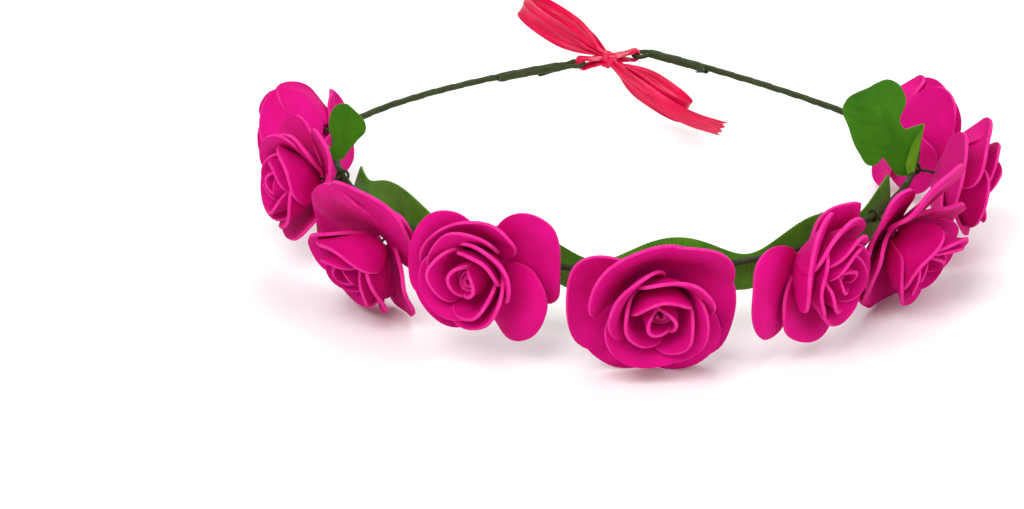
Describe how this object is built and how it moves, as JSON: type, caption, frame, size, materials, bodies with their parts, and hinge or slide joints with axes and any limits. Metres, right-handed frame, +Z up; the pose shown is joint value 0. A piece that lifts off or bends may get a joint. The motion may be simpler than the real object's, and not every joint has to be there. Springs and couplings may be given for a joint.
{
  "type": "flower crown",
  "caption": "Open wire headband carrying a row of foam roses on nodding stems, with leaves, a ribbon band and a tied satin bow that closes it.",
  "frame": {"origin": "centre of the whole crown's box, on the surface that its lowest petals rest on", "axes": "+Z up, square to the ring; -Y is the front, where the middle rose is; the bow is at +Y; +X is to the right when the front is looked at"},
  "size_m": [0.2064, 0.1786, 0.0532],
  "materials": {
    "rose_foam": "matte foam sheet",
    "leaf_cloth": "smooth matte",
    "grosgrain": "ribbed matte",
    "floral_tape": "waxed crepe",
    "steel_wire": "drawn",
    "satin": "satin sheen"
  },
  "bodies": {
    "ring": {"core_wire": "steel_wire", "tape_left_arm": "floral_tape", "tape_flower_row": "floral_tape", "tape_right_arm": "floral_tape", "tape_left_cuff": "floral_tape", "tape_right_cuff": "floral_tape", "ribbon_band": "grosgrain", "leaf_left": "leaf_cloth", "leaf_right": "leaf_cloth"},
    "rose_a": {"rose_a_stem": "floral_tape", "rose_a_outer_petals": "rose_foam", "rose_a_middle_petals": "rose_foam", "rose_a_inner_petals": "rose_foam", "rose_a_bud": "rose_foam"},
    "rose_b": {"rose_b_stem": "floral_tape", "rose_b_outer_petals": "rose_foam", "rose_b_middle_petals": "rose_foam", "rose_b_inner_petals": "rose_foam", "rose_b_bud": "rose_foam"},
    "rose_c": {"rose_c_stem": "floral_tape", "rose_c_outer_petals": "rose_foam", "rose_c_middle_petals": "rose_foam", "rose_c_inner_petals": "rose_foam", "rose_c_bud": "rose_foam"},
    "rose_d": {"rose_d_stem": "floral_tape", "rose_d_outer_petals": "rose_foam", "rose_d_middle_petals": "rose_foam", "rose_d_inner_petals": "rose_foam", "rose_d_bud": "rose_foam"},
    "rose_e": {"rose_e_stem": "floral_tape", "rose_e_outer_petals": "rose_foam", "rose_e_middle_petals": "rose_foam", "rose_e_inner_petals": "rose_foam", "rose_e_bud": "rose_foam"},
    "rose_f": {"rose_f_stem": "floral_tape", "rose_f_outer_petals": "rose_foam", "rose_f_middle_petals": "rose_foam", "rose_f_inner_petals": "rose_foam", "rose_f_bud": "rose_foam"},
    "rose_g": {"rose_g_stem": "floral_tape", "rose_g_outer_petals": "rose_foam", "rose_g_middle_petals": "rose_foam", "rose_g_inner_petals": "rose_foam", "rose_g_bud": "rose_foam"},
    "rose_h": {"rose_h_stem": "floral_tape", "rose_h_outer_petals": "rose_foam", "rose_h_middle_petals": "rose_foam", "rose_h_inner_petals": "rose_foam", "rose_h_bud": "rose_foam"},
    "rose_i": {"rose_i_stem": "floral_tape", "rose_i_outer_petals": "rose_foam", "rose_i_middle_petals": "rose_foam", "rose_i_inner_petals": "rose_foam", "rose_i_bud": "rose_foam"},
    "bow": {"ribbon_tie": "satin", "bow_knot": "satin", "bow_loop_back": "satin", "bow_loop_front": "satin", "bow_tail_back": "satin", "bow_tail_front": "satin"}
  },
  "joints": [
    {"name": "rose_a_nod", "type": "hinge", "parent": "ring", "child": "rose_a", "pos_m": [-0.07745, 0.02487, 0.02367], "axis": [0.4588, 0.8886, 0], "range_deg": [-8, 18]},
    {"name": "rose_b_nod", "type": "hinge", "parent": "ring", "child": "rose_b", "pos_m": [-0.07628, -0.00822, 0.02367], "axis": [-0.2873, 0.9578, 0], "range_deg": [-8, 10]},
    {"name": "rose_c_nod", "type": "hinge", "parent": "ring", "child": "rose_c", "pos_m": [-0.06021, -0.0375, 0.02367], "axis": [-0.6536, 0.7569, 0], "range_deg": [-8, 8]},
    {"name": "rose_d_nod", "type": "hinge", "parent": "ring", "child": "rose_d", "pos_m": [-0.03409, -0.05743, 0.02367], "axis": [-0.9029, 0.4298, 0], "range_deg": [-8, 18]},
    {"name": "rose_e_nod", "type": "hinge", "parent": "ring", "child": "rose_e", "pos_m": [0.00454, -0.06512, 0.02367], "axis": [-0.9986, -0.0531, 0], "range_deg": [-8, 18]},
    {"name": "rose_f_nod", "type": "hinge", "parent": "ring", "child": "rose_f", "pos_m": [0.04011, -0.05465, 0.02367], "axis": [-0.8674, -0.4976, 0], "range_deg": [-8, 18]},
    {"name": "rose_g_nod", "type": "hinge", "parent": "ring", "child": "rose_g", "pos_m": [0.06572, -0.03134, 0.02367], "axis": [-0.5775, -0.8164, 0], "range_deg": [-8, 10]},
    {"name": "rose_h_nod", "type": "hinge", "parent": "ring", "child": "rose_h", "pos_m": [0.07866, -0.00159, 0.02367], "axis": [-0.2049, -0.9788, 0], "range_deg": [-8, 18]},
    {"name": "rose_i_nod", "type": "hinge", "parent": "ring", "child": "rose_i", "pos_m": [0.07063, 0.02603, 0.02367], "axis": [0.6434, -0.7655, 0], "range_deg": [-8, 18]},
    {"name": "bow_swing", "type": "hinge", "parent": "ring", "child": "bow", "pos_m": [-0.00294, 0.07268, 0.02367], "axis": [0.9358, 0.3525, 0], "range_deg": [-30, 10]}
  ]
}
